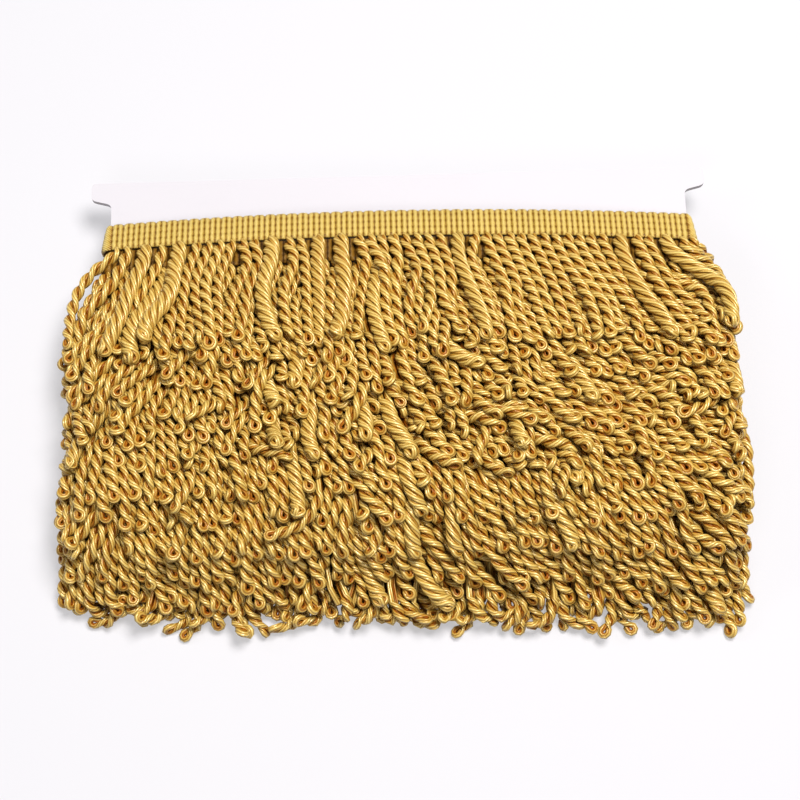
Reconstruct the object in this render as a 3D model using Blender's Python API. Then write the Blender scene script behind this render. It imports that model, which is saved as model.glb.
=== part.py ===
"""Cord fringe trim wound on a flat card, lying on a surface.

One length of trim, a woven header tape with a fringe of twisted cords along its lower edge, is wound
round a white card. Each turn lies a little less than a header's width above the turn before it, so its
fringe covers the headers and the fringe below it, like the courses of a thatched roof.

Metres, +Z up. The card lies flat: +Y points to its bare strip and the cords hang towards -Y.
The origin is on the surface that the trim rests on, under the middle of its bounding box.
"""

import math

import bmesh
import bpy
from mathutils import Vector

# The card
CARD_WIDTH = 0.254
CARD_THICKNESS = 0.0024
BARE_STRIP = 0.022  # card left bare above the last turn, and below the first
EAR_REACH = 0.009  # how far an ear stands out beside the wound part
EAR_HEIGHT = 0.0082
EAR_SLOPE = 0.0024  # how far the underside of an ear falls towards the card
EAR_RADIUS = 0.0022

# The trim
HEADER_WIDTH = 0.0126
HEADER_THICKNESS = 0.0022
FRINGE_RUN = 0.0553  # how far a cord reaches down the card from the header's edge
FRINGE_THICKNESS = 0.0024  # of one pressed layer of cords
SEAM_GAP = 0.0004

# The winding
TURNS = 11
TURN_PITCH = 0.0115  # each turn laps a little over the header of the turn before
FIRST_CUT = -0.124  # where the trim's outer end lies on the back, in turns from the left-hand fold
END_GAP = 0.002  # how far short of the seam the inner end stops, in turns
STRAIGHT_SHARE = 0.48  # of a turn, for its way across the front, and for its way across the back
FOLD_SHARE = 0.5 - STRAIGHT_SHARE
FRONT_SHARE = 0.16  # share of the pitch that a turn falls by on its way across the front
HEADER_LIFT = (0.0007, 0.0036)  # height of the tape over the card, at its upper and lower edge
FRINGE_LIFT = 0.0039  # height of the fringe over the card where it leaves the header
LAYER_RISE = 0.0032  # what each layer underneath adds
FOLD_SPREAD = 1.2  # how much further the cords stand out sideways at the card's edges
FRONT_BOW = 0.004  # how far the front of a turn arches off the card at mid-span
FRONT_ARCH = 0.0025  # how far it arches up the card there

# Past the card's lower edge nothing holds the fringe up, and it bends down to the surface
BEND_START = 0.003  # above the card's edge
BEND_RADIUS = 0.045
BEND_ANGLE = 50.0
SQUEEZE = 0.0045  # how much nearer the front and back layers come to each other by the end of the bend

# The comb: each turn's lower edge is cut into locks of five or six cords
LOCKS_ACROSS = 9
LOCK_SHARE = 0.72  # of the space from one lock to the next
LOCK_ROOT = 3 * TURN_PITCH  # how far down the fringe the locks part
HEADER_SPANS = 5
FOLD_STEPS = 9  # stations round each fold: a lock is two of them, then a gap of one
LOCK_UNEVEN = 0.0035
FLAT_CUT = 0.0008  # taken off the tips that the trim rests on
HANGING_TURNS = 5  # turns whose fringe reaches past the card's edge

HALF_CARD = CARD_THICKNESS / 2
FRONT_START = FOLD_SHARE / 2
BACK_START = FRONT_START + STRAIGHT_SHARE + FOLD_SHARE
SEAM_TOLERANCE = 1e-6
BEND_DROP = BEND_RADIUS * (1 - math.cos(math.radians(BEND_ANGLE)))
FOLD_CENTRE = CARD_WIDTH / 2 - HALF_CARD
CARD_EDGE_RUN = TURNS * TURN_PITCH + BARE_STRIP
TIP_LAYERS = FRINGE_RUN / TURN_PITCH
CARD_HEIGHT = HALF_CARD + FRINGE_LIFT + TIP_LAYERS * LAYER_RISE + FRINGE_THICKNESS - FLAT_CUT

GOLD = (0.62, 0.38, 0.08)
PALE_GOLD = (0.70, 0.46, 0.14)
WHITE = (0.86, 0.86, 0.86)


def clear_scene():
    for obj in list(bpy.data.objects):
        bpy.data.objects.remove(obj, do_unlink=True)


def material(name, colour, roughness):
    made = bpy.data.materials.new(name)
    made.use_nodes = True
    shader = made.node_tree.nodes["Principled BSDF"]
    shader.inputs["Base Color"].default_value = (*colour, 1.0)
    shader.inputs["Roughness"].default_value = roughness
    shader.inputs["Metallic"].default_value = 0.0
    return made


def link(obj, collection, finish, parent):
    collection.objects.link(obj)
    obj.data.materials.append(finish)
    obj.parent = parent
    return obj


# --- The card ------------------------------------------------------------------------------------

def rounded_corner(before, corner, after, radius, steps=4):
    """Points of an arc-like corner, from the edge before it to the edge after it."""
    before, corner, after = Vector(before), Vector(corner), Vector(after)
    start = corner + (before - corner).normalized() * radius
    end = corner + (after - corner).normalized() * radius
    points = []
    for i in range(steps + 1):
        t = i / steps
        points.append(start * (1 - t) ** 2 + corner * 2 * t * (1 - t) + end * t * t)
    return points


def card_outline():
    """One side of the card's outline, from the top edge down, as (x, run down the card)."""
    neck = CARD_WIDTH / 2
    ear = neck + EAR_REACH
    top = -BARE_STRIP
    ear_tip = (ear, top + EAR_HEIGHT)
    ear_root = (neck, top + EAR_HEIGHT + EAR_SLOPE)
    lower = (neck, CARD_EDGE_RUN)
    points = rounded_corner((0, top), (ear, top), ear_tip, EAR_RADIUS)
    points += rounded_corner((ear, top), ear_tip, ear_root, EAR_RADIUS)
    points += rounded_corner(ear_tip, ear_root, lower, EAR_RADIUS)
    points += rounded_corner(ear_root, lower, (0, CARD_EDGE_RUN), EAR_RADIUS)
    return [(p[0], p[1]) for p in points]


def build_card(collection, finish, parent):
    right = card_outline()
    left = [(-x, run) for x, run in reversed(right)]
    outline = right + left
    curve = bpy.data.curves.new("winding_card", "CURVE")
    curve.dimensions = "2D"
    curve.fill_mode = "BOTH"
    curve.extrude = HALF_CARD
    spline = curve.splines.new("POLY")
    spline.points.add(len(outline) - 1)
    for point, (x, run) in zip(spline.points, outline):
        point.co = (x, -run, 0, 1)
    spline.use_cyclic_u = True
    card = link(bpy.data.objects.new("winding_card", curve), collection, finish, parent)
    card.location.z = CARD_HEIGHT
    return card


# --- The winding's path --------------------------------------------------------------------------

def stations_of_turn(spans, marks):
    """One turn's stations from the left-hand fold's middle, as (share of the turn, x, angle, starts a lock).

    The angle is 90 degrees on the front, 0 at the right-hand edge, -90 on the back and 180 at the left.
    Each of the equal spans across the card has the stations that its marks give, as shares of the span.
    """
    fold = 180 / FOLD_STEPS
    half_fold = FOLD_STEPS / 2
    found = []

    def straight(side, share_start):
        for i in range(spans):
            for mark, lock in marks:
                across = (i + mark) / spans
                share = share_start + STRAIGHT_SHARE * across
                found.append((share, side * FOLD_CENTRE * (2 * across - 1), side * 90, lock))

    def folded(side, share_start, start_angle, steps):
        for i in steps:
            share = share_start + FOLD_SHARE * i / FOLD_STEPS
            found.append((share, side * FOLD_CENTRE, start_angle - i * fold, i % 3 != 2))

    folded(-1, -FOLD_SHARE / 2, 270, [i for i in range(FOLD_STEPS) if i >= half_fold])
    straight(1, FRONT_START)
    folded(1, FRONT_START + STRAIGHT_SHARE, 90, range(FOLD_STEPS))
    straight(-1, BACK_START)
    folded(-1, 1 - FOLD_SHARE / 2, 270, [i for i in range(FOLD_STEPS) if i < half_fold])
    return found


def back_station(turns):
    """A station anywhere on the back."""
    across = (turns - math.floor(turns) - BACK_START) / STRAIGHT_SHARE
    return (turns, FOLD_CENTRE * (1 - 2 * across), -90, False)


def stations(spans, marks):
    """Stations of the whole winding, as (turns, x, angle, starts a lock). Each turn starts on its seam."""
    last = FIRST_CUT + TURNS
    found = [back_station(FIRST_CUT + i) for i in range(TURNS)]
    found.append(back_station(last - END_GAP))
    for turn in range(math.floor(FIRST_CUT), math.ceil(last) + 1):
        for share, x, angle, lock in stations_of_turn(spans, marks):
            if FIRST_CUT < turn + share < last - END_GAP:
                found.append((turn + share, x, angle, lock))
    return sorted(found)


def fall(share):
    """How many pitches the winding has fallen after this share of a turn."""
    front = min(max((share - FRONT_START) / STRAIGHT_SHARE, 0.0), 1.0)
    back = min(max((share - BACK_START) / STRAIGHT_SHARE, 0.0), 1.0)
    return FRONT_SHARE * front + (1 - FRONT_SHARE) * back


def bent(down):
    """How far down the card and how far below it a point comes that lies this far down the winding."""
    past = max(down - CARD_EDGE_RUN + BEND_START, 0.0)
    angle = min(past / BEND_RADIUS, math.radians(BEND_ANGLE))
    straight = past - angle * BEND_RADIUS
    along = BEND_RADIUS * math.sin(angle) + straight * math.cos(angle)
    drop = BEND_RADIUS * (1 - math.cos(angle)) + straight * math.sin(angle)
    return down - past + along, drop


def at(station, run, lift):
    """The point this far down the card from the winding's upper edge and this high over the card."""
    turns, x, angle = station[:3]
    turn = math.floor(turns + FOLD_SHARE / 2)
    down, drop = bent((turn + fall(turns - turn)) * TURN_PITCH + run)
    across = math.cos(math.radians(angle))
    up = math.sin(math.radians(angle))
    arch = (1 - (x / FOLD_CENTRE) ** 2) if angle == 90 else 0.0
    reach = lift - SQUEEZE * min(drop / BEND_DROP, 1.0)
    return Vector((
        x + across * (HALF_CARD + reach * FOLD_SPREAD),
        -down + FRONT_ARCH * arch,
        CARD_HEIGHT + up * (HALF_CARD + reach) + FRONT_BOW * arch - drop,
    ))


def shell_object(name, inner, outer, depths):
    """A closed shell between two grids of columns, each a dictionary from row to point.

    depths says, for the strip between each column and the next, down to which row it reaches.
    """
    mesh = bpy.data.meshes.new(name)
    bm = bmesh.new()
    below = [{row: bm.verts.new(p) for row, p in column.items()} for column in inner]
    above = [{row: bm.verts.new(p) for row, p in column.items()} for column in outer]
    rims = {}
    for i, depth in enumerate(depths):
        shared = sorted(row for row in inner[i] if row in inner[i + 1] and row <= depth)
        for top, bottom in zip(shared, shared[1:]):
            left = [(i, row) for row in sorted(inner[i]) if top <= row <= bottom]
            right = [(i + 1, row) for row in sorted(inner[i + 1]) if top <= row <= bottom]
            ring = left + right[::-1]
            bm.faces.new([above[column][row] for column, row in ring])
            bm.faces.new([below[column][row] for column, row in reversed(ring)])
            for start, end in zip(ring, ring[1:] + ring[:1]):
                if rims.pop((end, start), None) is None:
                    rims[(start, end)] = True
    for (i, j), (k, m) in rims:
        bm.faces.new((above[k][m], above[i][j], below[i][j], below[k][m]))
    unused = [v for v in bm.verts if not v.link_faces]
    bmesh.ops.delete(bm, geom=unused, context="VERTS")
    bm.to_mesh(mesh)
    bm.free()
    return bpy.data.objects.new(name, mesh)


# --- The header tape -----------------------------------------------------------------------------

def build_header(collection, finish, parent):
    """The woven tape: one band, wound TURNS times round the card."""
    path = stations(HEADER_SPANS, ((0.0, False),))
    inner = []
    outer = []
    for station in path:
        edges = {0: (0.0, HEADER_LIFT[0]), 1: (HEADER_WIDTH, HEADER_LIFT[1])}
        inner.append({row: at(station, run, lift) for row, (run, lift) in edges.items()})
        outer.append(
            {row: at(station, run, lift + HEADER_THICKNESS) for row, (run, lift) in edges.items()}
        )
    tape = shell_object("header_tape", inner, outer, [1] * (len(path) - 1))
    return link(tape, collection, finish, parent)


# --- The fringe ----------------------------------------------------------------------------------

def fringe_rows(turn):
    """How far down the fringe its sections lie. Those that hang past the card need one a pitch."""
    rows = {0: 0.0, 3: LOCK_ROOT, 4: FRINGE_RUN}
    if turn <= HANGING_TURNS:
        rows |= {1: TURN_PITCH, 2: 2 * TURN_PITCH}
    return rows


def fringe_lift(turn, run):
    """Height of a turn's fringe over the card: it climbs over the layers of the turns wound before it."""
    return FRINGE_LIFT + LAYER_RISE * min(run / TURN_PITCH, turn - 1)


def build_fringe(collection, finish, parent):
    """The cords: one comb along the tape's lower edge, its locks parted at the tips."""
    path = stations(LOCKS_ACROSS, ((0.0, True), (LOCK_SHARE, False)))
    inner = []
    outer = []
    lock = 0
    for before, station in zip([path[0], *path], path):
        lock += before[3] and not station[3]
        # A seam has the lifts of the turn above it and the rows of the turn below it
        passed = station[0] - FIRST_CUT
        lifts_turn = TURNS - max(math.ceil(passed - SEAM_TOLERANCE) - 1, 0)
        rows_turn = TURNS - math.floor(passed + SEAM_TOLERANCE)
        rows = fringe_rows(rows_turn)
        rows[4] -= LOCK_UNEVEN * (0.5 + 0.5 * math.sin(2.4 * lock))
        run_start = HEADER_WIDTH + SEAM_GAP
        lifts = {row: fringe_lift(lifts_turn, run) for row, run in rows.items()}
        inner.append({row: at(station, run_start + run, lifts[row]) for row, run in rows.items()})
        outer.append({
            row: at(station, run_start + run, lifts[row] + FRINGE_THICKNESS)
            for row, run in rows.items()
        })
    depths = [4 if station[3] else 3 for station in path[:-1]]
    comb = shell_object("cord_fringe", inner, outer, depths)
    return link(comb, collection, finish, parent)


def flatten_underside(mesh):
    """Cuts off what lies below the surface that the trim rests on, so that its tips lie flat."""
    bm = bmesh.new()
    bm.from_mesh(mesh)
    geometry = bm.verts[:] + bm.edges[:] + bm.faces[:]
    cut = bmesh.ops.bisect_plane(
        bm, geom=geometry, dist=1e-6, plane_co=(0, 0, 0), plane_no=(0, 0, -1), clear_outer=True
    )
    rim = [e for e in cut["geom_cut"] if isinstance(e, bmesh.types.BMEdge) and e.is_boundary]
    bmesh.ops.edgenet_fill(bm, edges=rim)
    bmesh.ops.recalc_face_normals(bm, faces=bm.faces[:])
    bm.to_mesh(mesh)
    bm.free()


def centre_on_origin(parent, pieces):
    """Moves the parent so that the middle of the pieces' footprint is at the origin."""
    bpy.context.view_layer.update()
    graph = bpy.context.evaluated_depsgraph_get()
    corners = []
    for piece in pieces:
        shown = piece.evaluated_get(graph)
        corners += [shown.matrix_world @ v.co for v in shown.to_mesh().vertices]
        shown.to_mesh_clear()
    for axis in (0, 1):
        values = [c[axis] for c in corners]
        parent.location[axis] -= (min(values) + max(values)) / 2


def main():
    clear_scene()
    collection = bpy.data.collections.new("cord_fringe_trim")
    bpy.context.scene.collection.children.link(collection)
    card_finish = material("card_board", WHITE, 0.7)
    tape_finish = material("header_braid", PALE_GOLD, 0.5)
    cord_finish = material("twisted_cord", GOLD, 0.4)
    parent = bpy.data.objects.new("wound_trim", None)
    collection.objects.link(parent)
    pieces = [
        build_card(collection, card_finish, parent),
        build_header(collection, tape_finish, parent),
        build_fringe(collection, cord_finish, parent),
    ]
    flatten_underside(pieces[-1].data)
    centre_on_origin(parent, pieces)


main()
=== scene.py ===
"""Looks of the cord fringe trim: twisted cords settled by a small rod simulation, and a ribbed tape.

Lengths are in metres. The frame's card gives the places, and the sizes below repeat the design's.
"""

import math

import bpy
import numpy as np
from mathutils import Matrix, Vector


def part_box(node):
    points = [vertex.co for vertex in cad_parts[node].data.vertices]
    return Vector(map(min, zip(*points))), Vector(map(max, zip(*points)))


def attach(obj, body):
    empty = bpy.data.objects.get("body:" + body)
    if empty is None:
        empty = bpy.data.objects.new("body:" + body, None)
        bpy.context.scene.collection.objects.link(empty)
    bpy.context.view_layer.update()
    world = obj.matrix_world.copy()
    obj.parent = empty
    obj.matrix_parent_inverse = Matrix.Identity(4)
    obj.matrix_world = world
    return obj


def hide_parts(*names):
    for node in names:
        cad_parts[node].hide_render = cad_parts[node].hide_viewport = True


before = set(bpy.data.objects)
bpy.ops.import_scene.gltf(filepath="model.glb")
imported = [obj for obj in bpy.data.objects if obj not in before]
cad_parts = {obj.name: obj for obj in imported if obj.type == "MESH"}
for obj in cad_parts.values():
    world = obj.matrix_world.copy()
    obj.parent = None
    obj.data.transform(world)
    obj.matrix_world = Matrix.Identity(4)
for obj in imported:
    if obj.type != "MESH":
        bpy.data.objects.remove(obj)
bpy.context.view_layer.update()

# --- Sizes, as in the CAD model -------------------------------------------------------------------

CARD_LOW, CARD_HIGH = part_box("winding_card")
CARD_HEIGHT = (CARD_LOW.z + CARD_HIGH.z) / 2
HALF_CARD = (CARD_HIGH.z - CARD_LOW.z) / 2
CARD_WIDTH = 0.254
BARE_STRIP = 0.022
HEADER_TOP = CARD_HIGH.y - BARE_STRIP
FOLD_CENTRE = CARD_WIDTH / 2 - HALF_CARD
FRINGE_LOW, FRINGE_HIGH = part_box("cord_fringe")

HEADER_WIDTH = 0.0126
HEADER_THICKNESS = 0.0022
HEADER_LIFT = (0.0007, 0.0036)
TURNS = 11
TURN_PITCH = 0.0115
FIRST_CUT = -0.124
STRAIGHT_SHARE = 0.48
FOLD_SHARE = 0.5 - STRAIGHT_SHARE
FRONT_START = FOLD_SHARE / 2
BACK_START = FRONT_START + STRAIGHT_SHARE + FOLD_SHARE
FRONT_SHARE = 0.16
FRINGE_LIFT = 0.0039
LAYER_RISE = 0.0032
FOLD_SPREAD = 0.75
FRONT_BOW = 0.004
FRONT_ARCH = 0.0025
CARD_EDGE_RUN = TURNS * TURN_PITCH + BARE_STRIP
BEND_START = 0.003
BEND_RADIUS = 0.045
BEND_ANGLE = math.radians(50)
SKEW = 0.045  # the lower turns lie a little askew

# --- The cords ------------------------------------------------------------------------------------

CORD_LENGTH = 0.0560  # from the header to the far side of the loop at the tip
LOOP_REACH = 0.0047  # how much of that is the loop
CORDS_ACROSS = 50  # on the front, and on the back, of each turn
CORDS_ROUND = 4  # at each fold
LEG_RADIUS = 0.00138
LEG_OFFSET = 0.00134  # from the cord's axis to the axis of each of its two legs
TWIST_PITCH = 0.0129
LOOP_HALF_WIDTH = 0.00175
LOOP_HALF_LENGTH = 0.0018
TIP_TWIST = 0.9  # radians by which the legs cross sooner above the loop
THICK_OFFSET = 1.55  # a thick cord is two neighbours twisted into one, with its legs this much farther out
THICK_PITCH = 1.6
THICK_CHANCE = 0.13  # that two neighbours of the last turn are one thick cord
THICK_CHANCE_BELOW = 0.45  # as a share of that, in the other turns
LAST_TURN_REACH = 1.06  # the last turn's cords are this much longer than the others
CORD_START_LIFT = 0.0032  # the cords start just under the tape's lower edge
NODES = 17
CORD_RADIUS = 0.00228  # that the cords are packed with, as they press into each other
THICK_RADIUS = 0.0031
SEED = 20

# --- How the cords settle, and how finely they are meshed -----------------------------------------

SETTLE_STEPS = 160
PASSES = 3  # of the constraints, in each step
FALL_STEP = 0.00006  # how far its weight moves a cord in a step
SPEED_KEPT = 0.8
KINK_KEPT = 0.9  # of the bends that the cords are laid with
BEND_STIFFNESS = 0.25
PAIR_STEPS = 5  # how often the pairs of close nodes are found again
PAIR_MARGIN = 0.0012
CONTACT_GAIN = 1.3
THICK_FLOOR = 0.0034  # height of a thick cord's axis when it lies on the surface
STRAY = 0.0018  # how far cords stray past the pile's outline, on average
LEFT_INSET = 0.0105  # how far that outline lies inside the CAD model's
RIGHT_INSET = 0.0155
FOOT_INSET = 0.0085
CORNER_START = 0.8  # share of the half width past which the pile's lower edge rises
CORNER_RISE = 0.2

LOOP_GAP = 0.0004
TAPER_RUN = 0.003  # over which a cord thickens as it leaves the tape
TIP_TWIST_RUN = 0.0016
LOWEST = 0.0002
OUTER_X = 0.108  # past this a cord can be seen along its whole length
RING_STEP = 0.0012
TIP_SHOWN = 0.0247
TIP_RING_STEP = 0.0013
UPPER_RINGS = 6
LOOP_RINGS = 9
BACK_DETAIL = (0.015, 0.0021, 6, 5)  # twisted length, spacing of its rings, sides, rings round the loop


def fall(share):
    """How many pitches the winding has fallen after this share of a turn."""
    front = np.clip((share - FRONT_START) / STRAIGHT_SHARE, 0, 1)
    back = np.clip((share - BACK_START) / STRAIGHT_SHARE, 0, 1)
    return FRONT_SHARE * front + (1 - FRONT_SHARE) * back


def bent(down):
    """How far down the card and how far below it a point comes that lies this far down the winding."""
    past = np.maximum(down - CARD_EDGE_RUN + BEND_START, 0)
    angle = np.minimum(past / BEND_RADIUS, BEND_ANGLE)
    straight = past - angle * BEND_RADIUS
    along = BEND_RADIUS * np.sin(angle) + straight * np.cos(angle)
    drop = BEND_RADIUS * (1 - np.cos(angle)) + straight * np.sin(angle)
    return down - past + along, drop


def winding(turn, share, x, angle, run, lift):
    """Points this far down from the tape's upper edge and this high over the card, as an array."""
    down, drop = bent((turn + fall(share)) * TURN_PITCH + run)
    skew = SKEW * x * np.clip(down / 0.18, 0, 1) ** 1.5
    arch = np.where(np.abs(angle - 90) < 1, 1 - (x / FOLD_CENTRE) ** 2, 0)
    across = np.cos(np.radians(angle))
    up = np.sin(np.radians(angle))
    return np.stack(np.broadcast_arrays(
        x + across * (HALF_CARD + lift * FOLD_SPREAD),
        HEADER_TOP - down + FRONT_ARCH * arch - skew,
        CARD_HEIGHT + up * (HALF_CARD + lift) + FRONT_BOW * arch - drop,
    ), axis=-1)


def turn_stations(front, right, back, left):
    """A turn's stations, this many on each part, as arrays of share, x and angle. 90 is the front."""
    middles = [(np.arange(count) + 0.5) / count for count in (front, right, back, left)]
    share = np.concatenate([
        FRONT_START + STRAIGHT_SHARE * middles[0],
        FRONT_START + STRAIGHT_SHARE + FOLD_SHARE * middles[1],
        BACK_START + STRAIGHT_SHARE * middles[2],
        1 - FOLD_SHARE / 2 + FOLD_SHARE * middles[3],
    ])
    x = np.concatenate([
        FOLD_CENTRE * (2 * middles[0] - 1),
        np.full(right, FOLD_CENTRE),
        FOLD_CENTRE * (1 - 2 * middles[2]),
        np.full(left, -FOLD_CENTRE),
    ])
    angle = np.concatenate([
        np.full(front, 90.0), 90 - 180 * middles[1], np.full(back, -90.0), 270 - 180 * middles[3],
    ])
    return share, x, angle


def with_thick_cords(share, x, angle, chance, rng):
    """The stations with some pairs of neighbours on the front merged, and which ones those are."""
    first = (np.abs(angle - 90) < 1) & (rng.random(len(x)) < chance)
    first[1:] &= ~first[:-1]
    first &= np.roll(np.abs(angle - 90) < 1, -1)
    second = np.roll(first, 1)
    x = np.where(first, (x + np.roll(x, -1)) / 2, x)
    share = np.where(first, (share + np.roll(share, -1)) / 2, share)
    return share[~second], x[~second], angle[~second], first[~second]


def lean_of(x, turn, rng):
    """How far the cords on the front lean sideways, in radians: to the left on the far left, then right."""
    u = x / FOLD_CENTRE
    top = np.interp(u, [-1, -0.8, -0.3, 0.1, 0.7, 1], [-18, -5, 0, 7, 13, 20])
    lower = np.interp(u, [-1, -0.7, -0.1, 0.15, 1], [-8, 0, 6, 24, 30])
    share = np.clip(turn / 2, 0, 1)
    slow = np.interp(x, np.linspace(-0.13, 0.13, 9), rng.normal(0, 2.5 + 3.5 * share, 9))
    single = rng.normal(0, 2 + 2 * share, len(x))
    return np.radians(top * (1 - share) + lower * share + slow + single)


def laid_cords(rng):
    """The cords before they settle: nodes (cord, node, xyz), and each one's turn, angle and thickness."""
    run = np.linspace(0, 1, NODES)[None, :]
    nodes, turns, angles, thick = [], [], [], []
    for turn in range(TURNS):
        share, x, angle = turn_stations(CORDS_ACROSS, CORDS_ROUND, CORDS_ACROSS, CORDS_ROUND)
        merged = THICK_CHANCE if turn == 0 else THICK_CHANCE_BELOW * THICK_CHANCE
        share, x, angle, pairs = with_thick_cords(share, x, angle, merged, rng)
        count = len(x)
        below = TURNS - 1 - turn
        front = np.abs(angle - 90) < 1
        lean = np.where(front, lean_of(x, turn, rng), np.radians(rng.normal(0, 5, count)))
        reach = CORD_LENGTH * (LAST_TURN_REACH if turn == 0 else 1.0)
        length = reach * np.clip(rng.normal(1, 0.025, count), 0.93, 1.05)
        along = run * length[:, None]
        eased = 1 - np.exp(-along / 0.012)
        # An unruly cord swings aside and up over its outer half
        chance = np.where(x < 0.02, 0.16, 0.03) * (front & (turn > 1))
        unruly = rng.random(count) < chance
        swing = np.radians(rng.uniform(25, 65, count) * rng.choice([-1, 1], count)) * unruly
        past = np.clip(run * 2.2 - 1.0, 0, 1.2) / 1.2
        sideways = along * np.sin(lean[:, None]) * eased
        sideways = sideways + 0.5 * length[:, None] * past * np.sin(swing)[:, None]
        down = along * np.cos(lean[:, None]) * 0.975
        down = down - 0.5 * length[:, None] * past * (1 - np.cos(swing))[:, None]
        layers = np.minimum(down / TURN_PITCH, below)
        loft = rng.uniform(0, 0.001, count)[:, None] * eased
        loft = loft + 0.003 * past * (unruly * rng.uniform(0.2, 1, count))[:, None]
        lift = FRINGE_LIFT + 0.0006 + LAYER_RISE * 1.1 * layers + loft
        lift = np.where(run == 0, CORD_START_LIFT, lift)
        at = winding(
            turn, share[:, None], x[:, None], angle[:, None], HEADER_WIDTH - 0.0008 + down, lift
        )
        flat = np.abs(np.abs(angle) - 90) < 1
        at[..., 0] += np.where(flat[:, None], sideways, 0)
        nodes.append(at)
        turns.append(np.full(count, turn))
        angles.append(angle)
        thick.append(pairs)
    return np.concatenate(nodes), np.concatenate(turns), np.concatenate(angles), np.concatenate(thick)


def close_pairs(points, reach):
    """Every pair of points nearer than reach, as two arrays of indices."""
    cell = np.floor(points / reach).astype(np.int64)
    cell -= cell.min(0) - 1
    size = cell.max(0) + 2
    key = (cell[:, 0] * size[1] + cell[:, 1]) * size[2] + cell[:, 2]
    order = np.argsort(key, kind="stable")
    keys = key[order]
    first, second = [], []
    for dx in (-1, 0, 1):
        for dy in (-1, 0, 1):
            for dz in (-1, 0, 1):
                step = (dx * size[1] + dy) * size[2] + dz
                if step < 0:
                    continue
                low = np.searchsorted(keys, keys + step, "left")
                high = np.searchsorted(keys, keys + step, "right")
                if step == 0:
                    low = np.arange(len(keys)) + 1
                count = high - low
                start = np.repeat(np.arange(len(keys)), count)
                offset = np.arange(count.sum()) - np.repeat(np.cumsum(count) - count, count)
                first.append(order[start])
                second.append(order[np.repeat(low, count) + offset])
    a, b = np.concatenate(first), np.concatenate(second)
    near = ((points[a] - points[b]) ** 2).sum(1) < reach ** 2
    return a[near], b[near]


def added(index, values, count):
    """The sum of the rows of values that share an index."""
    return np.stack([np.bincount(index, values[:, k], count) for k in range(3)], axis=1)


def settle(nodes, angles, thick, rng):
    """Lets the cords fall against each other, the card and the surface, with their upper ends held."""
    cords, count = nodes.shape[:2]
    segment = np.linalg.norm(nodes[:, 1:] - nodes[:, :-1], axis=2).mean(1)[:, None, None]
    points = nodes.copy()
    before = nodes.copy()
    rest_kink = KINK_KEPT * (nodes[:, 1:-1] - (nodes[:, 2:] + nodes[:, :-2]) / 2)
    held = nodes[:, :2].copy()
    radius = np.where(thick, THICK_RADIUS, CORD_RADIUS)
    floor = np.where(thick, THICK_FLOOR, LEG_OFFSET + LEG_RADIUS)[:, None]
    radii = np.repeat(radius, count)
    front = (np.abs(angles - 90) < 1)[:, None]
    back = (np.abs(angles + 90) < 1)[:, None]
    right = (np.abs(angles) < 89)[:, None]
    left = ~(front | back | right)
    edge_y = HEADER_TOP - CARD_EDGE_RUN
    clear = HALF_CARD + radius[:, None]
    stray = rng.exponential(STRAY, cords)[:, None]
    side = FRINGE_HIGH.x + stray
    owner = np.repeat(np.arange(cords), count)
    for step in range(SETTLE_STEPS):
        speed = (points - before) * SPEED_KEPT
        before = points.copy()
        points = points + speed
        points[..., 2] -= FALL_STEP
        if step % PAIR_STEPS == 0:
            a, b = close_pairs(points.reshape(-1, 3), 2 * CORD_RADIUS + PAIR_MARGIN)
            other = owner[a] != owner[b]
            a, b = a[other], b[other]
        for _ in range(PASSES):
            for start in (0, 1):
                gap = points[:, start + 1::2] - points[:, start:-1:2]
                length = np.linalg.norm(gap, axis=2, keepdims=True)
                fix = gap * (0.5 * (1 - segment / length))
                points[:, start:-1:2] += fix
                points[:, start + 1::2] -= fix
            kink = points[:, 1:-1] - (points[:, 2:] + points[:, :-2]) / 2 - rest_kink
            points[:, 1:-1] -= BEND_STIFFNESS * kink
            points[:, :-2] += BEND_STIFFNESS / 2 * kink
            points[:, 2:] += BEND_STIFFNESS / 2 * kink
            flat = points.reshape(-1, 3)
            apart = flat[a] - flat[b]
            length = np.sqrt((apart ** 2).sum(1))
            deep = radii[a] + radii[b] - length
            hit = deep > 0
            push = apart[hit] * (0.5 * deep[hit] / length[hit])[:, None]
            moved = added(a[hit], push, len(flat)) - added(b[hit], push, len(flat))
            times = np.bincount(a[hit], minlength=len(flat)) + np.bincount(b[hit], minlength=len(flat))
            flat += moved * (CONTACT_GAIN / np.maximum(times, CONTACT_GAIN))[:, None]
            on_card = points[..., 1] > edge_y
            x, z = points[..., 0], points[..., 2]
            z = np.where(front & on_card, np.maximum(z, CARD_HEIGHT + clear), z)
            z = np.where(back & on_card, np.minimum(z, CARD_HEIGHT - clear), z)
            x = np.where(right & on_card, np.maximum(x, CARD_WIDTH / 2 + CORD_RADIUS), x)
            x = np.where(left & on_card, np.minimum(x, -CARD_WIDTH / 2 - CORD_RADIUS), x)
            points[..., 0] = np.clip(x, LEFT_INSET - side, side - RIGHT_INSET)
            corner = np.clip(np.abs(points[..., 0]) / FRINGE_HIGH.x - CORNER_START, 0, 1)
            foot = FRINGE_LOW.y + FOOT_INSET - SKEW * points[..., 0] + CORNER_RISE * corner ** 2 - stray
            points[..., 1] = np.maximum(points[..., 1], foot)
            points[..., 2] = np.maximum(z, floor)
            points[:, :2] = held
    return points


# --- Cord meshes ----------------------------------------------------------------------------------

def resampled(nodes, stations):
    """Points of a smooth curve through each cord's nodes, at these shares of its length."""
    count = nodes.shape[1]
    at = stations * (count - 1)
    i = np.clip(at.astype(int), 0, count - 2)
    t = (at - i)[None, :, None]
    before = nodes[:, np.maximum(i - 1, 0)]
    a, b = nodes[:, i], nodes[:, i + 1]
    after = nodes[:, np.minimum(i + 2, count - 1)]
    return a + 0.5 * t * (
        b - before + t * (2 * before - 5 * a + 4 * b - after + t * (3 * (a - b) + after - before))
    )


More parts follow.
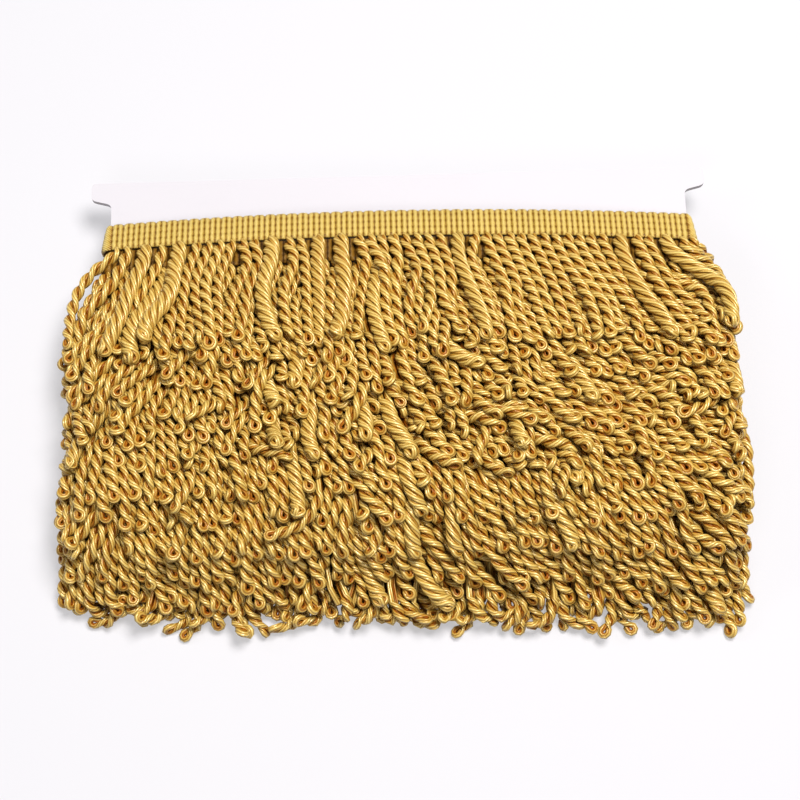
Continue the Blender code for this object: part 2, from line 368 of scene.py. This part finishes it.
def unit(vectors):
    return vectors / np.maximum(np.linalg.norm(vectors, axis=-1, keepdims=True), 1e-12)


def transported(tangents, first):
    """A normal at each station of each cord, carried along it without turning about it."""
    normals = np.empty_like(tangents)
    normal = unit(first - (first * tangents[:, 0]).sum(1, keepdims=True) * tangents[:, 0])
    for k in range(tangents.shape[1]):
        t = tangents[:, k]
        normal = unit(normal - (normal * t).sum(1, keepdims=True) * t)
        normals[:, k] = normal
    return normals


def cord_traits(thick, rng):
    """What differs from cord to cord, by name, as arrays."""
    count = len(thick)
    scale = np.clip(rng.normal(1.0, 0.05, count), 0.88, 1.14)
    slack = np.clip(rng.normal(1.0, 0.08, count), 0.82, 1.25)
    return {
        "scale": scale,
        "offset": LEG_OFFSET * scale * np.where(thick, THICK_OFFSET, 1),
        "pitch": TWIST_PITCH * slack * np.where(thick, THICK_PITCH, 1),
        "tip_turn": rng.normal(0, 0.75, count),
        "curl": rng.normal(0, 0.42, (count, 2)),
        "loop": scale * rng.uniform(0.88, 1.15, count),
        "tone": rng.random(count),
        "start": rng.uniform(0, 1, count),
    }


def cord_arrays(nodes, traits, quarter, shown, fine_step, sides, loop_steps):
    """Vertices, faces and attributes of twisted cords. Each is one closed tube: a leg, a loop, a leg.

    Only the shown end is twisted: the covered part runs straight with few rings. The quarter turns
    the legs about the axis, for the second pair in a thick cord.
    """
    cords = len(nodes)
    twisted = CORD_LENGTH - LOOP_REACH
    shown = min(shown, twisted)
    length = np.linspace(twisted - shown, twisted, max(3, round(shown / fine_step) + 1))
    if shown < twisted:
        length = np.concatenate([np.linspace(0, twisted - shown, UPPER_RINGS)[:-1], length])
    axis = resampled(nodes, length / CORD_LENGTH)
    tip = nodes[:, -1]
    tangents = unit(np.gradient(axis, axis=1))
    end = unit(tip - axis[:, -1])
    up = np.tile([[0.0, 0.0, 1.0]], (cords, 1))
    sideways = unit(np.cross(end, up))
    over = np.cross(sideways, end)
    normals = transported(tangents, np.tile([[0.0, 0.3, 1.0]], (cords, 1)))
    binormals = np.cross(tangents, normals)
    level = np.arctan2(
        (sideways * binormals[:, -1]).sum(1), (sideways * normals[:, -1]).sum(1)
    )
    left = np.minimum(twisted - length, shown)
    phase = (level + traits["tip_turn"] + quarter)[:, None] + 2 * np.pi * left / traits["pitch"][:, None]
    phase = phase + TIP_TWIST * (1 - np.exp(-left / TIP_TWIST_RUN))
    radial = np.cos(phase)[..., None] * normals + np.sin(phase)[..., None] * binormals
    taper = 0.5 + 0.5 * np.clip(length / TAPER_RUN, 0, 1)
    offset = traits["offset"][:, None, None] * taper[None, :, None]
    e = radial[:, -1]
    curl = unit(end + traits["curl"][:, :1] * sideways + traits["curl"][:, 1:] * over)
    curl = unit(curl - (curl * e).sum(1, keepdims=True) * e)
    half_width = np.maximum(LOOP_HALF_WIDTH * traits["loop"], traits["offset"] * 1.05)
    open_angle = np.arccos(traits["offset"] / half_width)
    round_loop = np.linspace(0, 1, loop_steps + 2)[None, 1:-1]
    theta = round_loop * (np.pi + 2 * open_angle[:, None]) - open_angle[:, None]
    half_length = LOOP_HALF_LENGTH * traits["loop"]
    centre = axis[:, -1] + curl * (half_length * np.sin(open_angle) + LOOP_GAP)[:, None]
    wide = (half_width[:, None] * np.cos(theta))[..., None] * e[:, None]
    long = (half_length[:, None] * np.sin(theta))[..., None] * curl[:, None]
    path = np.concatenate(
        [axis + offset * radial, centre[:, None] + wide + long, (axis - offset * radial)[:, ::-1]],
        axis=1,
    )
    middle = np.concatenate([axis, np.repeat(centre[:, None], loop_steps, 1), axis[:, ::-1]], axis=1)
    near = len(length)
    window = slice(near - 2, near + loop_steps + 2)
    smooth = path.copy()
    smooth[:, 1:-1] = 0.25 * path[:, :-2] + 0.5 * path[:, 1:-1] + 0.25 * path[:, 2:]
    path[:, window] = smooth[:, window]
    tangent = unit(np.gradient(path, axis=1))
    outward = path - middle
    outward = unit(outward - (outward * tangent).sum(2, keepdims=True) * tangent)
    aside = np.cross(tangent, outward)
    turn = 2 * np.pi * np.arange(sides) / sides
    ring = (
        np.cos(turn)[None, None, :, None] * outward[:, :, None]
        + np.sin(turn)[None, None, :, None] * aside[:, :, None]
    )
    slim = np.concatenate([taper, np.ones(loop_steps), taper[::-1]])
    radius = LEG_RADIUS * traits["scale"][:, None] * slim
    points = path[:, :, None] + radius[:, :, None, None] * ring
    points[..., 2] = np.maximum(points[..., 2], LOWEST)
    rings = path.shape[1]
    step = np.linalg.norm(np.diff(path, axis=1), axis=2)
    along = np.concatenate([np.zeros((cords, 1)), np.cumsum(step, axis=1)], axis=1)
    strand = np.empty((cords, rings, sides, 3))
    strand[..., 0] = (along + traits["start"][:, None])[:, :, None]
    strand[..., 1] = np.cos(turn)
    strand[..., 2] = np.sin(turn)
    # Painted shade mask: 0 on a leg's outer side, 1 on the side that faces the other leg or the loop's hole
    crevice_shade = np.broadcast_to(0.5 - 0.5 * np.cos(turn), (cords, rings, sides))
    tone = np.broadcast_to(traits["tone"][:, None, None], (cords, rings, sides))
    index = np.arange(cords * rings * sides).reshape(cords, rings, sides)
    a, c = index[:, :-1], index[:, 1:]
    quads = np.stack([a, np.roll(a, -1, axis=2), np.roll(c, -1, axis=2), c], axis=-1)
    caps = np.concatenate([index[:, 0, ::-1], index[:, -1]])
    quads = quads.reshape(-1, 4)
    return points.reshape(-1, 3), quads, caps, strand.reshape(-1, 3), crevice_shade.ravel(), tone.ravel()


def mesh_from(name, groups):
    """One object of several groups of cords."""
    points, quads, caps, strands, crevice_shades, tones = [], [], [], [], [], []
    start = 0
    for p, q, c, s, g, t in groups:
        points.append(p)
        quads.append(q + start)
        caps.append((c + start).tolist())
        strands.append(s)
        crevice_shades.append(g)
        tones.append(t)
        start += len(p)
    points = np.concatenate(points)
    quads = np.concatenate(quads)
    loops = [quads.ravel()]
    totals = [np.full(len(quads), 4)]
    for rows in caps:
        rows = np.array(rows)
        loops.append(rows.ravel())
        totals.append(np.full(len(rows), rows.shape[1]))
    loops = np.concatenate(loops)
    totals = np.concatenate(totals)
    mesh = bpy.data.meshes.new(name)
    mesh.vertices.add(len(points))
    mesh.vertices.foreach_set("co", points.astype(np.float32).ravel())
    mesh.loops.add(len(loops))
    mesh.loops.foreach_set("vertex_index", loops.astype(np.int32))
    mesh.polygons.add(len(totals))
    starts = np.concatenate([[0], np.cumsum(totals)[:-1]])
    mesh.polygons.foreach_set("loop_start", starts.astype(np.int32))
    mesh.polygons.foreach_set("loop_total", totals.astype(np.int32))
    mesh.update(calc_edges=True)
    mesh.shade_smooth()
    strand = mesh.attributes.new("strand", "FLOAT_VECTOR", "POINT")
    strand.data.foreach_set("vector", np.concatenate(strands).astype(np.float32).ravel())
    # The painted crevice shade, and each cord's own tone
    for name_of, values in (("crevice_shade", crevice_shades), ("tone", tones)):
        made = mesh.attributes.new(name_of, "FLOAT", "POINT")
        made.data.foreach_set("value", np.concatenate(values).astype(np.float32))
    obj = bpy.data.objects.new(name, mesh)
    bpy.context.scene.collection.objects.link(obj)
    return obj


def build_fringe(nodes, turns, angles, thick, finish):
    """One object for each turn's cords. Cords that show whole are twisted whole."""
    pieces = []
    for turn in range(TURNS):
        rng = np.random.default_rng(SEED + 100 + turn)
        mine = turns == turn
        traits = cord_traits(thick[mine], rng)
        cords = nodes[mine]
        back = np.abs(angles[mine] + 90) < 1
        outer = ~back & (np.abs(cords[:, 0, 0]) > OUTER_X)
        bare = turn in (0, 1, TURNS - 1)
        pairs = thick[mine]
        sides = 8 if turn == 0 else 7
        whole = (CORD_LENGTH, RING_STEP, sides, LOOP_RINGS)
        tips = whole if bare else (TIP_SHOWN, TIP_RING_STEP, sides, LOOP_RINGS)
        groups = []
        for chosen, quarter, detail in (
            (outer, 0, whole),
            (~back & ~outer, 0, tips),
            (pairs & outer, np.pi / 2, whole),
            (pairs & ~outer, np.pi / 2, tips),
            (back, 0, BACK_DETAIL),
        ):
            if not chosen.any():
                continue
            chosen_traits = {name: values[chosen] for name, values in traits.items()}
            groups.append(cord_arrays(cords[chosen], chosen_traits, quarter, *detail))
        piece = mesh_from(f"fringe_cords_{turn + 1:02d}", groups)
        piece.data.materials.append(finish)
        pieces.append(piece)
    return pieces


# --- The header tape ------------------------------------------------------------------------------

RIB_PITCH = 0.0024
RIB_HEIGHT = 0.0009
BEAD_LENGTH = 0.0031
SCALLOP = 0.0009  # how far the loops along the upper edge stand out; each joins two ribs
HEADER_ROWS = 26
FINE_ACROSS = 830  # stations where the tape shows, and the plain number elsewhere
FINE_FOLD = 50
PLAIN_ACROSS = 20
PLAIN_FOLD = 8
INNER_END_GAP = 0.002  # in turns
FINE_MIDDLE = 0.25  # the middle of the stretch that shows, in turns, and half its length
FINE_REACH = 0.27
COVERED_HEIGHT = 0.6  # of the braid's relief, where the tape is smooth


def header_stations():
    """Stations along the tape: turn, share, x and angle. They are dense where the tape shows."""
    found = []
    for turn in range(-1, TURNS):
        front, right = (FINE_ACROSS, FINE_FOLD) if turn == 0 else (PLAIN_ACROSS, PLAIN_FOLD)
        left = FINE_FOLD if turn == -1 else PLAIN_FOLD
        share, x, angle = turn_stations(front, right, PLAIN_ACROSS, left)
        found.append(np.stack([np.full(len(x), turn), share, x, angle]))
    turn, share, x, angle = np.concatenate(found, axis=1)
    kept = (turn + share > FIRST_CUT) & (turn + share < FIRST_CUT + TURNS - INNER_END_GAP)
    return turn[kept], share[kept], x[kept], angle[kept]


def braid_height(along, across):
    """Height of the braid over its ground, from 0 to 1: ribs down the tape, each a chain of beads."""
    rib = np.abs(np.sin(np.pi * along / RIB_PITCH))
    uneven = 0.12 * np.sin(along * 911) + 0.08 * np.sin(along * 2203)
    bead = np.abs(np.sin(np.pi * (across / BEAD_LENGTH + 0.2 + uneven)))
    return rib ** (0.3 + 1.3 * (1 - bead) ** 1.5) * (0.86 + 0.14 * bead)


def build_header(finish):
    """The tape as one closed band, and its length. Its last turn has the braid's relief."""
    turn, share, x, angle = header_stations()
    across = np.linspace(0, 1, HEADER_ROWS)[None, :]
    lift = HEADER_LIFT[0] + (HEADER_LIFT[1] - HEADER_LIFT[0]) * across
    place = (turn[:, None], share[:, None], x[:, None], angle[:, None])
    base = winding(*place, HEADER_WIDTH * across, lift)
    step = np.linalg.norm(np.diff(base[:, 0], axis=0), axis=1)
    along = np.concatenate([[0], np.cumsum(step)])[:, None]
    fine = np.abs(turn + share - FINE_MIDDLE) < FINE_REACH
    height = np.where(fine[:, None], braid_height(along, HEADER_WIDTH * across), COVERED_HEIGHT)
    scallop = np.abs(np.sin(np.pi * along / (2 * RIB_PITCH))) ** 0.5
    run = HEADER_WIDTH * across - SCALLOP * scallop * (1 - across) ** 3 * fine[:, None]
    edges = 1 - 0.5 * np.abs(2 * across - 1) ** 6
    top = winding(*place, run, lift + (HEADER_THICKNESS + RIB_HEIGHT * (height - 0.7)) * edges)
    n, m = top.shape[:2]
    lower = winding(*place, run, lift)[:, [0, -1]]
    points = np.concatenate([top.reshape(-1, 3), lower.reshape(-1, 3)])
    index = np.arange(n * m).reshape(n, m)
    under = n * m + np.arange(n * 2).reshape(n, 2)
    faces = np.concatenate([
        np.stack([index[:-1, :-1], index[:-1, 1:], index[1:, 1:], index[1:, :-1]], -1).reshape(-1, 4),
        np.stack([under[:-1, 0], under[1:, 0], under[1:, 1], under[:-1, 1]], -1),
        np.stack([index[:-1, 0], index[1:, 0], under[1:, 0], under[:-1, 0]], -1),
        np.stack([index[1:, -1], index[:-1, -1], under[:-1, 1], under[1:, 1]], -1),
    ]).tolist()
    faces.append([*index[0, ::-1], *under[0]])
    faces.append([*index[-1], *under[-1, ::-1]])
    mesh = bpy.data.meshes.new("header_braid")
    mesh.from_pydata(points.tolist(), [], faces)
    mesh.shade_smooth()
    braid = np.zeros((len(points), 3))
    braid[:, 0] = np.concatenate([np.repeat(along, m), np.repeat(along, 2)])
    braid[:, 1] = np.concatenate([np.tile(HEADER_WIDTH * across[0], n), np.tile([0, HEADER_WIDTH], n)])
    braid[: n * m, 2] = np.repeat(fine, m)
    mesh.attributes.new("braid", "FLOAT_VECTOR", "POINT").data.foreach_set("vector", braid.ravel())
    obj = bpy.data.objects.new("header_braid", mesh)
    bpy.context.scene.collection.objects.link(obj)
    obj.data.materials.append(finish)
    return obj, float(along[-1, 0])


# --- Materials ------------------------------------------------------------------------------------

class Nodes:
    """A short way to write a material's nodes."""

    def __init__(self, name):
        self.material = bpy.data.materials.new(name)
        self.material.use_nodes = True
        self.tree = self.material.node_tree
        self.shader = self.tree.nodes["Principled BSDF"]

    def add(self, kind, **settings):
        node = self.tree.nodes.new(kind)
        for key, value in settings.items():
            setattr(node, key, value)
        return node

    def link(self, source, target):
        self.tree.links.new(source, target)

    def attribute(self, name):
        return self.add("ShaderNodeAttribute", attribute_name=name)

    def math(self, operation, first, second=None):
        node = self.add("ShaderNodeMath", operation=operation)
        for socket, value in zip(node.inputs, (first, second)):
            if value is None:
                continue
            if isinstance(value, (int, float)):
                socket.default_value = value
            else:
                self.link(value, socket)
        return node.outputs[0]

    def noise(self, vector, scale, detail=2.0):
        node = self.add("ShaderNodeTexNoise")
        node.inputs["Scale"].default_value = scale
        node.inputs["Detail"].default_value = detail
        self.link(vector, node.inputs["Vector"])
        return node.outputs["Fac"]

    def scaled(self, vector, scale):
        node = self.add("ShaderNodeVectorMath", operation="MULTIPLY")
        self.link(vector, node.inputs[0])
        node.inputs[1].default_value = scale
        return node.outputs[0]

    def ramp(self, value, stops):
        node = self.add("ShaderNodeValToRGB")
        elements = node.color_ramp.elements
        while len(elements) < len(stops):
            elements.new(0.5)
        for element, (position, colour) in zip(elements, stops):
            element.position = position
            element.color = (*colour, 1)
        self.link(value, node.inputs["Fac"])
        return node.outputs["Color"]

    def bump(self, height, strength, distance, below=None):
        node = self.add("ShaderNodeBump")
        node.inputs["Strength"].default_value = strength
        node.inputs["Distance"].default_value = distance
        self.link(height, node.inputs["Height"])
        if below is not None:
            self.link(below, node.inputs["Normal"])
        return node.outputs["Normal"]


def cord_material():
    """Rayon yarn: fine plies along each leg, satin, with painted highlights on the crowns and painted
    shade, orange-brown, in the grooves.
    """
    n = Nodes("twisted_rayon")
    strand = n.attribute("strand").outputs["Vector"]
    split = n.add("ShaderNodeSeparateXYZ")
    n.link(strand, split.inputs[0])
    around = n.math("ARCTAN2", split.outputs[2], split.outputs[1])
    lay = n.math("MULTIPLY", split.outputs[0], 2 * math.pi / 0.03)
    plies = n.math("ABSOLUTE", n.math("SINE", n.math("ADD", n.math("MULTIPLY", around, 2.5), lay)))
    fibres = n.noise(n.scaled(strand, (160, 9, 9)), 1.0, 3.0)
    patches = n.noise(n.scaled(strand, (60, 0.6, 0.6)), 1.0, 1.0)
    tone = n.attribute("tone").outputs["Fac"]
    # The painted shade mask: 1 in the crevice between the legs and inside the loop, 0 on the crowns
    crevice_shade = n.attribute("crevice_shade").outputs["Fac"]
    crown_light = n.math("SUBTRACT", 1.0, n.math("POWER", crevice_shade, 1.2))
    # Painted shade and highlights: darker in the crevices between the legs and between the plies, paler on
    # the crowns; the fibres, the cord's tone and the patches vary it for real
    shade = n.math("ADD", n.math("MULTIPLY", crown_light, 0.50), n.math("MULTIPLY", plies, 0.26))
    shade = n.math("ADD", shade, n.math("MULTIPLY", fibres, 0.14))
    shade = n.math("ADD", shade, n.math("MULTIPLY", tone, 0.07))
    shade = n.math("ADD", shade, n.math("MULTIPLY", patches, 0.06))
    # From dark orange-brown in the painted shade to pale gold in the painted highlights
    colour = n.ramp(shade, [
        (0.12, (0.15, 0.024, 0.001)),
        (0.36, (0.30, 0.096, 0.005)),
        (0.62, (0.44, 0.255, 0.040)),
        (0.92, (0.67, 0.51, 0.17)),
    ])
    n.link(colour, n.shader.inputs["Base Color"])
    n.shader.inputs["Roughness"].default_value = 0.33
    # The specular, too, is lower in the crevices
    n.link(n.math("ADD", 0.12, n.math("MULTIPLY", crown_light, 1.2)), n.shader.inputs["Specular IOR Level"])
    n.shader.inputs["Specular Tint"].default_value = (1.0, 0.95, 0.80, 1.0)
    height = n.bump(plies, 0.9, 0.00035)
    height = n.bump(fibres, 0.4, 0.0001, height)
    n.link(height, n.shader.inputs["Normal"])
    return n.material


def braid_material():
    """The same yarn, braided close: ribs paler with painted highlights, and painted shade in the dark
    ground between their beads.
    """
    n = Nodes("braided_header")
    braid = n.attribute("braid").outputs["Vector"]
    split = n.add("ShaderNodeSeparateXYZ")
    n.link(braid, split.inputs[0])
    along, across, carved = split.outputs
    rib = n.math("ABSOLUTE", n.math("SINE", n.math("MULTIPLY", along, math.pi / RIB_PITCH)))
    bead = n.math("ADD", n.math("MULTIPLY", across, math.pi / BEAD_LENGTH), 0.2 * math.pi)
    pinch = n.math("SUBTRACT", 1.0, n.math("ABSOLUTE", n.math("SINE", bead)))
    narrow = n.math("ADD", n.math("MULTIPLY", n.math("POWER", pinch, 1.5), 0.6), 0.4)
    height = n.math("POWER", rib, narrow)
    # Fine plies slant across each rib, the other way in every second rib
    side = n.math("MULTIPLY", n.math("PINGPONG", along, RIB_PITCH), 2 * math.pi / 0.0011)
    slant = n.math("ADD", side, n.math("MULTIPLY", across, 2 * math.pi / 0.0021))
    plies = n.math("ABSOLUTE", n.math("SINE", slant))
    fibres = n.noise(n.scaled(braid, (2600, 900, 1)), 1.0, 3.0)
    patches = n.noise(n.scaled(braid, (60, 200, 1)), 1.0, 1.0)
    # Painted shade and highlights: dark in the ground between the ribs and beads and between the plies,
    # pale on their crowns; the fibres and patches vary it for real
    shade = n.math("ADD", n.math("MULTIPLY", height, 0.62), n.math("MULTIPLY", fibres, 0.14))
    shade = n.math("ADD", shade, n.math("MULTIPLY", plies, 0.20))
    shade = n.math("ADD", shade, n.math("MULTIPLY", patches, 0.06))
    # Painted shade: the covered turns' tape, which lies in the cords' shade, is darkened, so that it
    # doesn't show pale between the cords
    shade = n.math("MULTIPLY", shade, n.math("ADD", n.math("MULTIPLY", carved, 0.45), 0.55))
    # From dark brown in the painted shade to pale gold in the painted highlights
    colour = n.ramp(shade, [
        (0.15, (0.06, 0.018, 0.001)),
        (0.45, (0.24, 0.120, 0.012)),
        (0.72, (0.50, 0.355, 0.090)),
        (0.96, (0.72, 0.58, 0.23)),
    ])
    # Where the tape is smooth, the shading alone has to carry the ribs
    smooth = n.math("MULTIPLY", height, n.math("SUBTRACT", 1.0, carved))
    n.link(colour, n.shader.inputs["Base Color"])
    n.shader.inputs["Roughness"].default_value = 0.42
    n.shader.inputs["Specular Tint"].default_value = (1.0, 0.95, 0.78, 1.0)
    relief = n.bump(plies, 0.7, 0.00025, n.bump(smooth, 1.0, 0.0009))
    n.link(n.bump(fibres, 0.4, 0.0001, relief), n.shader.inputs["Normal"])
    return n.material


def card_material():
    """White board with a faint fibre, a little greyer in blotches."""
    n = Nodes("white_board")
    place = n.add("ShaderNodeNewGeometry").outputs["Position"]
    fibre = n.noise(place, 1400.0, 4.0)
    blotch = n.noise(place, 18.0, 2.0)
    mixed = n.math("ADD", n.math("MULTIPLY", fibre, 0.3), n.math("MULTIPLY", blotch, 0.7))
    colour = n.ramp(mixed, [(0.3, (0.512, 0.498, 0.53)), (0.7, (0.528, 0.512, 0.545))])
    n.link(colour, n.shader.inputs["Base Color"])
    n.shader.inputs["Roughness"].default_value = 0.8
    n.shader.inputs["Specular IOR Level"].default_value = 0.15
    n.link(n.bump(fibre, 0.25, 0.00005), n.shader.inputs["Normal"])
    return n.material


# --- Stage, lights and camera ---------------------------------------------------------------------

FLOOR_HALF = 6.0
CAMERA_ELEVATION = math.radians(70)
CAMERA_DISTANCE = 0.808
CAMERA_ROLL = math.radians(-1.54)
CAMERA_LENS = 85
CAMERA_TARGET = Vector((-0.0015, HEADER_TOP - 0.083, 0.02))


def aim(obj, place, target):
    obj.location = place
    obj.rotation_euler = (Vector(target) - Vector(place)).to_track_quat("-Z", "Y").to_euler()


def area_light(name, place, target, size, power, colour):
    light = bpy.data.lights.new(name, "AREA")
    light.shape = "RECTANGLE"
    light.size, light.size_y = size
    light.energy = power
    light.color = colour
    obj = bpy.data.objects.new(name, light)
    bpy.context.scene.collection.objects.link(obj)
    aim(obj, place, target)


def build_stage():
    """A plain pale floor. It glows a little, so that shadows on it stay pale."""
    mesh = bpy.data.meshes.new("floor")
    half = FLOOR_HALF
    corners = [(-half, -half, 0), (half, -half, 0), (half, half, 0), (-half, half, 0)]
    mesh.from_pydata(corners, [], [(0, 1, 2, 3)])
    floor = bpy.data.objects.new("floor", mesh)
    bpy.context.scene.collection.objects.link(floor)
    n = Nodes("pale_floor")
    n.shader.inputs["Base Color"].default_value = (0.275, 0.27, 0.285, 1)
    n.shader.inputs["Roughness"].default_value = 0.9
    n.shader.inputs["Specular IOR Level"].default_value = 0.1
    n.shader.inputs["Emission Color"].default_value = (0.985, 0.98, 1.0, 1)
    n.shader.inputs["Emission Strength"].default_value = 0.5
    mesh.materials.append(n.material)


def build_lights():
    """A dim world, a large key light above and a little to the right, and two weak lights."""
    world = bpy.data.worlds.new("studio")
    world.use_nodes = True
    world.node_tree.nodes["Background"].inputs["Color"].default_value = (0.97, 0.96, 1.0, 1)
    world.node_tree.nodes["Background"].inputs["Strength"].default_value = 0.18
    bpy.context.scene.world = world
    area_light("key", (0.35, 0.2, 1.4), (0, 0, 0), (0.6, 0.5), 33, (1.0, 0.985, 0.95))
    area_light("front", (-0.3, -0.8, 1.0), (0, 0, 0), (0.5, 0.4), 3.0, (1.0, 0.99, 0.97))
    area_light("fill", (-0.9, 0.1, 0.8), (0, 0, 0), (0.5, 0.5), 2.5, (0.97, 0.97, 1.0))


def build_camera():
    """The camera stands in front of the trim and looks steeply down on it."""
    data = bpy.data.cameras.new("camera")
    data.lens = CAMERA_LENS
    data.clip_start = 0.01
    camera = bpy.data.objects.new("camera", data)
    bpy.context.scene.collection.objects.link(camera)
    away = Vector((0, -math.cos(CAMERA_ELEVATION), math.sin(CAMERA_ELEVATION)))
    camera.location = CAMERA_TARGET + away * CAMERA_DISTANCE
    upright = (-away).to_track_quat("-Z", "Y").to_matrix()
    camera.rotation_euler = (upright @ Matrix.Rotation(CAMERA_ROLL, 3, "Z")).to_euler()
    bpy.context.scene.camera = camera


def main():
    bpy.context.scene.view_settings.view_transform = "Standard"
    bpy.context.scene.view_settings.gamma = 0.85
    build_stage()
    build_lights()
    build_camera()
    rng = np.random.default_rng(SEED)
    laid, turns, angles, thick = laid_cords(rng)
    settled = settle(laid, angles, thick, rng)
    fringes = build_fringe(settled, turns, angles, thick, cord_material())
    header, length = build_header(braid_material())
    for piece in fringes:
        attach(piece, "root")
        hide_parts("cord_fringe")
    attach(header, "root")
    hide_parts("header_tape")
    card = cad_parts["winding_card"]
    card.data.materials.clear()
    card.data.materials.append(card_material())


main()
